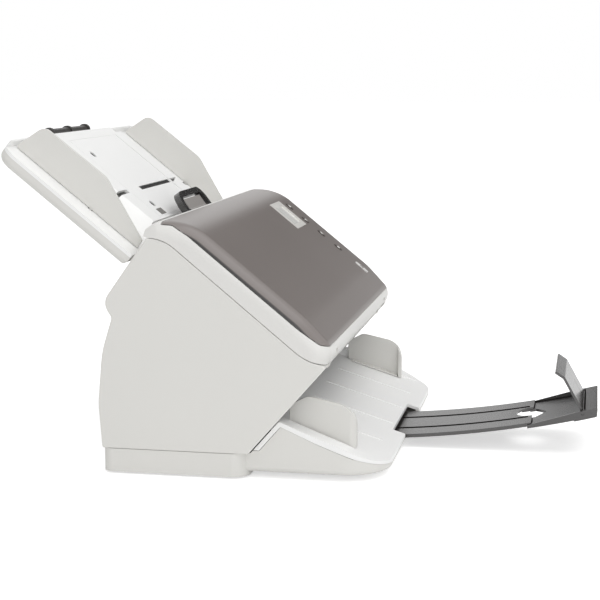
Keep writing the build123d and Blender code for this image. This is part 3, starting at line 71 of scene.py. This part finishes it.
def linear(hex_colour):
    """sRGB hex colour as linear red, green, blue and alpha."""
    channels = [int(hex_colour[place:place + 2], 16) / 255 for place in (1, 3, 5)]
    return [c / 12.92 if c <= 0.04045 else ((c + 0.055) / 1.055) ** 2.4 for c in channels] + [1.0]


def add_node(owner, kind, settings=None, links=None):
    """Adds a node, sets its fields and sockets, and links (socket, from node, from socket) triples."""
    node = owner.node_tree.nodes.new(kind)
    for key, value in (settings or {}).items():
        if key in node.inputs:
            node.inputs[key].default_value = value
        else:
            setattr(node, key, value)
    for socket, source, output in links or []:
        owner.node_tree.links.new(source.outputs[output], node.inputs[socket])
    return node


def new_material(name, **sockets):
    """An empty material with its shader and output joined, and the shader's plain values set."""
    material = bpy.data.materials.new(name)
    material.use_nodes = True
    material.node_tree.nodes.clear()
    shader = add_node(material, "ShaderNodeBsdfPrincipled")
    add_node(material, "ShaderNodeOutputMaterial", links=[("Surface", shader, "BSDF")])
    for socket, value in sockets.items():
        shader.inputs[socket.replace("_", " ")].default_value = value
    return material, shader


def join(material, shader, **sources):
    """Links a node's first output to each named socket of the shader."""
    for socket, node in sources.items():
        material.node_tree.links.new(node.outputs[0], shader.inputs[socket.replace("_", " ")])


def seen_directly(owner):
    """1 for rays from the camera, from a reflection or through glass, and 0 for the rest."""
    rays = add_node(owner, "ShaderNodeLightPath")
    either = add_node(owner, "ShaderNodeMath", {"operation": "MAXIMUM"},
                      [(0, rays, "Is Camera Ray"), (1, rays, "Is Glossy Ray")])
    return add_node(owner, "ShaderNodeMath", {"operation": "MAXIMUM"},
                    [(0, either, "Value"), (1, rays, "Is Transmission Ray")])


desk_laminate, desk_shader = new_material("desk_laminate", Base_Color=linear("#F2F2F2"), Roughness=0.6,
                                          Specular_IOR_Level=0.2, Emission_Color=(1, 1, 1, 1))
desk_lift = add_node(desk_laminate, "ShaderNodeMath", {"operation": "MULTIPLY"},
                     [(0, seen_directly(desk_laminate), "Value")])
desk_lift.inputs[1].default_value = DESK_LIFT
join(desk_laminate, desk_shader, Emission_Strength=desk_lift)
bpy.ops.mesh.primitive_plane_add(size=DESK_SIZE)
desk = bpy.context.object
desk.name = "desk"
desk.data.materials.append(desk_laminate)

# Studio light: one large soft lamp overhead, a weaker one on the camera's side, and an
# even pale surround, so that every colour renders about as it is written.
SURROUND_STRENGTH = 0.6
LAMP_AIM = Vector((0, 0, 0.1))
world = bpy.data.worlds.new("surround")
bpy.context.scene.world = world
world.use_nodes = True
world.node_tree.nodes.clear()
level = add_node(world, "ShaderNodeMapRange", {"To Min": SURROUND_STRENGTH, "To Max": 1.0},
                 [("Value", seen_directly(world), "Value")])
background = add_node(world, "ShaderNodeBackground", {"Color": (1, 1, 1, 1)},
                      [("Strength", level, "Result")])
add_node(world, "ShaderNodeOutputWorld", links=[("Surface", background, "Background")])


def soft_lamp(name, place, size, watts):
    """A square area lamp turned towards the middle of the machine."""
    bpy.ops.object.light_add(type="AREA", location=place)
    lamp = bpy.context.object
    lamp.name = name
    lamp.data.size = size
    lamp.data.energy = watts
    lamp.rotation_euler = (LAMP_AIM - Vector(place)).to_track_quat("-Z", "Y").to_euler()


soft_lamp("overhead", place=(-0.2, -0.5, 1.6), size=1.6, watts=12.0)
soft_lamp("camera_side", place=(-1.8, -0.7, 0.7), size=1.2, watts=7.5)

# Studio flag: a near-black card past the machine's right end, above the photograph's frame. Only
# glossy surfaces show it, and it gives the satin panel the darker middle of the photograph.
FLAG_FRONT, FLAG_REAR = -1.5, 0.2
FLAG_FOOT, FLAG_TOP = 0.5, 2.4
FLAG_PLACE = 3.0
FIBRES_PER_METRE = 60.0
flag_card, flag_shader = new_material("flag_card", Roughness=0.9)
card_place = add_node(flag_card, "ShaderNodeTexCoord")
card_fibre = add_node(flag_card, "ShaderNodeTexNoise", {"Scale": FIBRES_PER_METRE},
                      [("Vector", card_place, "Object")])
card_tone = add_node(flag_card, "ShaderNodeMapRange", {"To Min": 0.02, "To Max": 0.03},
                     [("Value", card_fibre, "Fac")])
join(flag_card, flag_shader, Base_Color=card_tone)
bpy.ops.mesh.primitive_plane_add(
    size=1.0, location=(FLAG_PLACE, (FLAG_FRONT + FLAG_REAR) / 2, (FLAG_FOOT + FLAG_TOP) / 2),
    rotation=(0, math.radians(90), 0))
flag = bpy.context.object
flag.name = "flag"
flag.scale = (FLAG_TOP - FLAG_FOOT, FLAG_REAR - FLAG_FRONT, 1.0)
bpy.ops.object.transform_apply(location=True, rotation=True, scale=True)
flag.data.materials.append(flag_card)
flag.visible_camera = False
flag.visible_diffuse = False
flag.visible_shadow = False

# Base: pan and output tub in one injection moulding of warm light grey ABS. Its tool was
# spark-eroded to a fine grain, which softens every highlight.
MOULD_GRAIN = 0.0006
GRAIN_DEPTH = 0.00012
CLOUDS_PER_METRE = 9.0
GLOSS_SPREAD = 0.05
ABS_IOR = 1.53
SMOOTH_ANGLE = math.radians(28)


def moulded_plastic(name, colour, roughness=0.5, grain=MOULD_GRAIN, bump=0.12, drift=0.02, **sockets):
    """Grained moulding: even colour with a slight drift, small bumps and uneven gloss."""
    material, shader = new_material(name, IOR=ABS_IOR, **sockets)
    place = add_node(material, "ShaderNodeTexCoord")
    fine = add_node(material, "ShaderNodeTexNoise", {"Scale": 1 / grain, "Detail": 3.0},
                    [("Vector", place, "Object")])
    wide = add_node(material, "ShaderNodeTexNoise", {"Scale": CLOUDS_PER_METRE, "Detail": 2.0},
                    [("Vector", place, "Object")])
    tint = add_node(material, "ShaderNodeMapRange", {"To Min": 1 - drift, "To Max": 1 + drift},
                    [("Value", wide, "Fac")])
    shade = add_node(material, "ShaderNodeHueSaturation", {"Color": linear(colour)},
                     [("Value", tint, "Result")])
    gloss = add_node(material, "ShaderNodeMapRange",
                     {"To Min": roughness - GLOSS_SPREAD, "To Max": roughness + GLOSS_SPREAD},
                     [("Value", fine, "Fac")])
    dents = add_node(material, "ShaderNodeBump", {"Strength": bump, "Distance": GRAIN_DEPTH},
                     [("Height", fine, "Fac")])
    join(material, shader, Base_Color=shade, Roughness=gloss, Normal=dents)
    return material


def dress(material, *names):
    """Gives CAD nodes their finish."""
    for name in names:
        mesh = nodes[name].data
        mesh.materials.clear()
        mesh.materials.append(material)
        bpy.ops.object.select_all(action="DESELECT")
        nodes[name].select_set(True)
        bpy.context.view_layer.objects.active = nodes[name]
        bpy.ops.object.shade_smooth_by_angle(angle=SMOOTH_ANGLE)
        nodes[name].select_set(False)


casing_abs = moulded_plastic("casing_abs", "#DCDBD7")
dress(casing_abs, "bottom_housing")

# Feet: six discs of soft black rubber, cut from a ribbed mat and glued into the base.
# The cut faces are dull and slightly dusty.
foot_rubber = moulded_plastic("foot_rubber", "#262525", roughness=0.8, grain=0.0012, bump=0.5, drift=0.1)
dress(foot_rubber, "rubber_feet")

# Side plates: 1.5 mm steel sheet, zinc plated, screwed to the base. The plating's crystals give
# soft patches a few millimetres across, duller at their rims. The motor's can is the same sheet.
CRYSTAL = 0.004
PLATE_ROUGHNESS = 0.32
GLOSS_LOSS = 0.15


side_plate_steel, plate_shader = new_material("side_plate_steel", Metallic=1.0)
plate_place = add_node(side_plate_steel, "ShaderNodeTexCoord")
crystals = add_node(side_plate_steel, "ShaderNodeTexVoronoi", {"Scale": 1 / CRYSTAL},
                    [("Vector", plate_place, "Object")])
plate_light = add_node(side_plate_steel, "ShaderNodeMapRange", {"To Min": 0.88, "To Max": 1.06},
                       [("Value", crystals, "Color")])
plate_shade = add_node(side_plate_steel, "ShaderNodeHueSaturation", {"Color": linear("#A7AAAC")},
                       [("Value", plate_light, "Result")])
plate_gloss = add_node(side_plate_steel, "ShaderNodeMapRange",
                       {"To Min": PLATE_ROUGHNESS, "To Max": PLATE_ROUGHNESS + GLOSS_LOSS},
                       [("Value", crystals, "Distance")])
join(side_plate_steel, plate_shader, Base_Color=plate_shade, Roughness=plate_gloss)
dress(side_plate_steel, "chassis_plates", "drive_motor", "housing_screws")

# Shafts, latch hooks and hinge pins: ground steel. The grinding leaves lines round the shaft,
# drawn here 0.3 mm apart because the real ones are too fine to show.
GRIND_SPACING = 0.0003
LINE_STRETCH = 0.02
ground_steel, steel_shader = new_material("ground_steel", Metallic=1.0)
steel_place = add_node(ground_steel, "ShaderNodeTexCoord")
steel_turn = add_node(ground_steel, "ShaderNodeMapping", {"Scale": (1.0, LINE_STRETCH, LINE_STRETCH)},
                      [("Vector", steel_place, "Object")])
steel_lines = add_node(ground_steel, "ShaderNodeTexNoise", {"Scale": 1 / GRIND_SPACING, "Detail": 2.0},
                       [("Vector", steel_turn, "Vector")])
steel_light = add_node(ground_steel, "ShaderNodeMapRange", {"To Min": 0.9, "To Max": 1.05},
                       [("Value", steel_lines, "Fac")])
steel_shade = add_node(ground_steel, "ShaderNodeHueSaturation", {"Color": linear("#B9BBBD")},
                       [("Value", steel_light, "Result")])
steel_gloss = add_node(ground_steel, "ShaderNodeMapRange", {"To Min": 0.18, "To Max": 0.34},
                       [("Value", steel_lines, "Fac")])
join(ground_steel, steel_shader, Base_Color=steel_shade, Roughness=steel_gloss)
dress(ground_steel, "feed_roller_shaft", "exit_roller_shaft", "latch_hooks", "tray_hinge_pins")

# Bushings and gears: natural acetal, moulded, with the bores reamed. It is left uncoloured, so
# it is milky and slightly waxy.
acetal = moulded_plastic("acetal", "#E6E3D8", roughness=0.34, bump=0.03, Subsurface_Weight=0.15,
                         Subsurface_Scale=0.002)
dress(acetal, "shaft_bushings", "feed_gear", "exit_gear", "idler_gear_upper", "idler_gear_middle",
      "idler_gear_lower", "motor_pinion", "guide_pinion")

# Roller tyres: grey EPDM rubber, pressed on their shafts and ground true. They are dull, with
# the grinding's fine ripple across the tread.
RIPPLE = 0.0012
RIPPLE_DEPTH = 0.0001
tyre_rubber, tyre_shader = new_material("tyre_rubber", IOR=1.5, Specular_IOR_Level=0.35)
tyre_place = add_node(tyre_rubber, "ShaderNodeTexCoord")
tyre_grain = add_node(tyre_rubber, "ShaderNodeTexNoise",
                      {"Scale": 1 / RIPPLE, "Detail": 4.0, "Roughness": 0.65},
                      [("Vector", tyre_place, "Object")])
tyre_light = add_node(tyre_rubber, "ShaderNodeMapRange", {"To Min": 0.85, "To Max": 1.15},
                      [("Value", tyre_grain, "Fac")])
tyre_shade = add_node(tyre_rubber, "ShaderNodeHueSaturation", {"Color": linear("#4A4F52")},
                      [("Value", tyre_light, "Result")])
tyre_gloss = add_node(tyre_rubber, "ShaderNodeMapRange", {"To Min": 0.65, "To Max": 0.85},
                      [("Value", tyre_grain, "Fac")])
tyre_dents = add_node(tyre_rubber, "ShaderNodeBump", {"Strength": 0.4, "Distance": RIPPLE_DEPTH},
                      [("Height", tyre_grain, "Fac")])
join(tyre_rubber, tyre_shader, Base_Color=tyre_shade, Roughness=tyre_gloss, Normal=tyre_dents)
dress(tyre_rubber, "feed_roller_tyres", "exit_roller_tyres", "separation_roller", "pinch_rollers")

# Image sensors: black glass-filled housings behind a strip of clear float glass, one on each
# side of the paper path.
sensor_black = moulded_plastic("sensor_black", "#1D1D1E", roughness=0.55, bump=0.2)
dress(sensor_black, "lower_image_sensor", "upper_image_sensor")
FILMS_PER_METRE = 25.0
float_glass, glass_shader = new_material("float_glass", Base_Color=linear("#DDEBE7"), IOR=1.52,
                                         Transmission_Weight=1.0)
glass_place = add_node(float_glass, "ShaderNodeTexCoord")
glass_film = add_node(float_glass, "ShaderNodeTexNoise", {"Scale": FILMS_PER_METRE, "Detail": 3.0},
                      [("Vector", glass_place, "Object")])
glass_gloss = add_node(float_glass, "ShaderNodeMapRange", {"To Min": 0.01, "To Max": 0.06},
                       [("Value", glass_film, "Fac")])
join(float_glass, glass_shader, Roughness=glass_gloss)
dress(float_glass, "lower_sensor_glass", "upper_sensor_glass")

# Boards: glass-epoxy laminate under green solder mask. Copper tracks 0.5 mm wide show through
# the mask as a lighter net.
TRACK_PITCH = 0.0025
TRACK_WIDTH = 0.0005
solder_mask, mask_shader = new_material("solder_mask", IOR=1.5)
mask_place = add_node(solder_mask, "ShaderNodeTexCoord")
tracks = add_node(solder_mask, "ShaderNodeTexBrick",
                  {"Scale": 1.0, "Brick Width": 3 * TRACK_PITCH, "Row Height": TRACK_PITCH,
                   "Mortar Size": TRACK_WIDTH / 2, "Color1": linear("#1E5236"), "Color2": linear("#235C3D"),
                   "Mortar": linear("#3E8058")}, [("Vector", mask_place, "Object")])
mask_gloss = add_node(solder_mask, "ShaderNodeMapRange", {"To Min": 0.3, "To Max": 0.45},
                      [("Value", tracks, "Fac")])
join(solder_mask, mask_shader, Base_Color=tracks, Roughness=mask_gloss)
dress(solder_mask, "main_board", "control_board")

# Rear sockets: power inlet and data port in glass-filled PBT housings, black and dull,
# soldered to the main board and standing in the rear cover's cut-outs.
socket_pbt = moulded_plastic("socket_pbt", "#1A1A1B", roughness=0.6, bump=0.25)
dress(socket_pbt, "rear_sockets")

# Casing: two side panels, rear cover and the slanted front wall, the same ABS as the base,
# clipped together with a fine open seam.
dress(casing_abs, "side_panel_left", "side_panel_right", "rear_cover", "front_wall")

# Output deck and lower paper guide: whiter ABS, smoother because paper slides on it.
# The output guides are a shade greyer.
tray_abs = moulded_plastic("tray_abs", "#F3F3F2", roughness=0.42, bump=0.08)
dress(tray_abs, "output_deck", "lower_paper_guide")
guide_abs = moulded_plastic("guide_abs", "#D9D8D4", roughness=0.45)
dress(guide_abs, "output_guide_left", "output_guide_right")

# Output extension: two sliding stages and the hinged stop, moulded in dark warm grey ABS with a
# satin surface, which turns pale where it is seen at a low angle.
dark_satin = moulded_plastic("dark_satin", "#23201F", roughness=0.24, bump=0.02, drift=0.04,
                             Specular_IOR_Level=0.95)
dress(dark_satin, "extension_inner", "extension_outer", "end_stop")

# Cover: white moulded shell whose top is faced with a warm grey satin panel, a thin moulding
# clipped on over the shell's rolled edges. The frame inside is matt dark grey.
frame_abs = moulded_plastic("frame_abs", "#4A4846", roughness=0.6, bump=0.2)
dress(frame_abs, "upper_transport_frame")
cover_abs = moulded_plastic("cover_abs", "#DEDDDA", roughness=0.46)
dress(cover_abs, "cover_shell")
panel_satin = moulded_plastic("panel_satin", "#7A7370", roughness=0.32, bump=0.05, drift=0.06)
dress(panel_satin, "control_panel")

# Panel rim: the panel's side edges drop into a narrow gap in the shell. The last millimetre of the
# panel's colour is darkened as painted shade of that gap, and draws a dark line along the cover.
RIM_SHADE = 0.0012
PAINTED_RIM_LEVEL = 0.08
panel_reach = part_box("control_panel")[1].x
rim_place = add_node(panel_satin, "ShaderNodeTexCoord")
rim_split = add_node(panel_satin, "ShaderNodeSeparateXYZ", links=[("Vector", rim_place, "Object")])
rim_reach = add_node(panel_satin, "ShaderNodeMath", {"operation": "ABSOLUTE"}, [(0, rim_split, "X")])
# Painted shade: the panel's colour darkens over its outermost millimetre at each side.
painted_rim_shade = add_node(panel_satin, "ShaderNodeMapRange",
                     {"From Min": panel_reach - RIM_SHADE, "From Max": panel_reach - RIM_SHADE / 2,
                      "To Min": 1.0, "To Max": PAINTED_RIM_LEVEL}, [("Value", rim_reach, "Value")])
panel_tone = next(node for node in panel_satin.node_tree.nodes if node.type == "HUE_SAT")
panel_shader = next(node for node in panel_satin.node_tree.nodes if node.type == "BSDF_PRINCIPLED")
panel_colour_rim_shaded = add_node(panel_satin, "ShaderNodeHueSaturation",
                        links=[("Color", panel_tone, "Color"), ("Value", painted_rim_shade, "Result")])
join(panel_satin, panel_shader, Base_Color=panel_colour_rim_shaded)

# Display: a pale bezel let into the panel round a reflective liquid crystal window.
# Its cells, really 0.3 mm, are drawn 0.8 mm so that they show.
CELL = 0.0008
bezel_abs = moulded_plastic("bezel_abs", "#DAD8D4", roughness=0.3, bump=0.03)
dress(bezel_abs, "display_bezel")
lcd_glass, lcd_shader = new_material("lcd_glass", IOR=1.5, Coat_Weight=0.6, Coat_Roughness=0.05)
lcd_place = add_node(lcd_glass, "ShaderNodeTexCoord")
cells = add_node(lcd_glass, "ShaderNodeTexBrick",
                 {"offset": 0.0, "Scale": 1.0, "Brick Width": CELL, "Row Height": CELL,
                  "Mortar Size": CELL / 12, "Color1": linear("#FAF9F6"), "Color2": linear("#F7F7F3"),
                  "Mortar": linear("#DFDFDA")}, [("Vector", lcd_place, "Object")])
lcd_gloss = add_node(lcd_glass, "ShaderNodeMapRange", {"To Min": 0.2, "To Max": 0.3},
                     [("Value", cells, "Fac")])
join(lcd_glass, lcd_shader, Base_Color=cells, Roughness=lcd_gloss)
dress(lcd_glass, "display_window")

# Keys: four menu keys and a pale power key, each in its own gap in the panel. The menu keys are
# dark grey, darker than the panel, as painted shade of their gaps.
# Their marks are plain raised arrows and a dot moulded in white, and a ring in grey.
key_abs = moulded_plastic("key_abs", "#4C4744", roughness=0.36, bump=0.04)
dress(key_abs, "menu_button_up", "menu_button_down", "menu_button_back", "menu_button_select")
power_abs = moulded_plastic("power_abs", "#E9E8E6", roughness=0.3, bump=0.03)
dress(power_abs, "power_button")
mark_white = moulded_plastic("mark_white", "#F4F3F0", roughness=0.35, bump=0.02)
mark_grey = moulded_plastic("mark_grey", "#6B6764", roughness=0.4, bump=0.02)
KEY_DEPTH = 0.0034
MARK_RISE = 0.00025
MARK_RADIUS = 0.0021
DOT_SHARE = 0.75
RING_SHARE = 0.8
MARK_SMOOTH = math.radians(35)
press_axis = next(Vector(joint["axis"]) for joint in frame["joints"]
                  if joint["name"] == "menu_button_up_press")
panel_slope = math.atan2(press_axis.y, -press_axis.z)


def seat_on_key(piece, key, body, turn, material):
    """Turns a mark made flat at the origin, lays it on a key's top and lets it move with the key."""
    low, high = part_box(key)
    top = (low + high) / 2 - press_axis * KEY_DEPTH / 2
    piece.matrix_world = (Matrix.Translation(top) @ Matrix.Rotation(panel_slope, 4, "X")
                          @ Matrix.Rotation(math.radians(turn), 4, "Z"))
    bpy.ops.object.transform_apply(location=True, rotation=True, scale=True)
    bpy.ops.object.shade_smooth_by_angle(angle=MARK_SMOOTH)
    piece.data.materials.append(material)
    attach(piece, body)
    piece.select_set(False)


def flat_mark(name, sides, radius):
    """A low plate with equal sides, the rim of its top bevelled."""
    bpy.ops.mesh.primitive_circle_add(vertices=sides, radius=radius, fill_type="NGON")
    piece = bpy.context.object
    piece.name = name
    bpy.ops.object.mode_set(mode="EDIT")
    bpy.ops.mesh.select_all(action="SELECT")
    bpy.ops.mesh.extrude_region_move(TRANSFORM_OT_translate={"value": (0, 0, MARK_RISE)})
    bpy.ops.mesh.bevel(offset=MARK_RISE / 3, segments=2)
    bpy.ops.mesh.select_all(action="SELECT")
    bpy.ops.mesh.normals_make_consistent(inside=False)
    bpy.ops.object.mode_set(mode="OBJECT")
    return piece


for key, body, turn in (("up", "up_key", 0), ("down", "down_key", 180), ("back", "back_key", 90)):
    arrow = flat_mark("mark_" + key, 3, MARK_RADIUS)
    seat_on_key(arrow, "menu_button_" + key, body, turn, mark_white)
dot = flat_mark("mark_select", 32, MARK_RADIUS * DOT_SHARE)
seat_on_key(dot, "menu_button_select", "select_key", 0, mark_white)
bpy.ops.mesh.primitive_torus_add(major_radius=MARK_RADIUS * RING_SHARE, minor_radius=MARK_RISE,
                                 major_segments=48, minor_segments=10)
ring = bpy.context.object
ring.name = "mark_power"
seat_on_key(ring, "power_button", "power_key", 0, mark_grey)

# Release lever, its bracket and the gap flap at the rear of the cover: dark ABS, the flap
# mid grey, all satin like the output extension.
lever_satin = moulded_plastic("lever_satin", "#2A2928", roughness=0.26, bump=0.04, drift=0.04,
                              Specular_IOR_Level=0.95)
dress(lever_satin, "release_lever", "lever_bracket")
flap_satin = moulded_plastic("flap_satin", "#989491", roughness=0.36, bump=0.06)
dress(flap_satin, "gap_release_flap")

# Input tray: white upper shell and centre panel over a casing-grey lower shell, with a smoked
# acrylic lens over the paper sensor, two grey side guides and a dark grip on the extension.
dress(tray_abs, "tray_upper_shell", "tray_centre_panel", "tray_extension")
dress(casing_abs, "tray_lower_shell")
dress(guide_abs, "paper_guide_left", "paper_guide_right")
lens_acrylic = moulded_plastic("lens_acrylic", "#9C9A96", roughness=0.12, bump=0.0, Coat_Weight=0.5)
dress(lens_acrylic, "paper_sensor_lens")
grip_satin = moulded_plastic("grip_satin", "#383634", roughness=0.4, bump=0.1)
dress(grip_satin, "extension_grip")

# Slot shade: a rough black sheet laid under the tray's centre panel as painted shade. It shows
# as black through the panel's slots, its round holes and the seams beside it.
SHADE_SHEET_DEPTH = 0.0009
SHADE_SHEET_OVERLAP = 0.0009
SHADE_SHEET_THICKNESS = 0.0003
SHADE_SHEET_SHARE = 0.94
# Painted shade: this black sheet stands in for the shade under the panel's slots.
slot_shade_black = moulded_plastic("slot_shade_black", "#1B1A19", roughness=0.9, grain=0.0008, bump=0.6, drift=0.1)
panel_face = max(nodes["tray_centre_panel"].data.polygons, key=lambda face: face.area * face.normal.z)
panel_low, panel_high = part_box("tray_centre_panel")
panel_tilt = math.atan2(-panel_face.normal.y, panel_face.normal.z)
panel_middle = (panel_low + panel_high) / 2
panel_middle -= panel_face.normal * ((panel_middle - panel_face.center).dot(panel_face.normal) + SHADE_SHEET_DEPTH)
bpy.ops.mesh.primitive_plane_add(size=1.0)
shade_sheet = bpy.context.object
shade_sheet.name = "slot_shade_sheet"
shade_sheet.scale = (panel_high.x - panel_low.x + 2 * SHADE_SHEET_OVERLAP,
              SHADE_SHEET_SHARE * (panel_high.y - panel_low.y) / math.cos(panel_tilt), 1.0)
bpy.ops.object.transform_apply(location=True, rotation=True, scale=True)
shade_sheet_solid = shade_sheet.modifiers.new("shade_sheet_solid", "SOLIDIFY")
shade_sheet_solid.thickness = SHADE_SHEET_THICKNESS
bpy.ops.object.modifier_apply(modifier="shade_sheet_solid")
shade_sheet.matrix_world = Matrix.Translation(panel_middle) @ Matrix.Rotation(panel_tilt, 4, "X")
bpy.ops.object.transform_apply(location=True, rotation=True, scale=True)
shade_sheet.data.materials.append(slot_shade_black)
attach(shade_sheet, "tray")
shade_sheet.select_set(False)
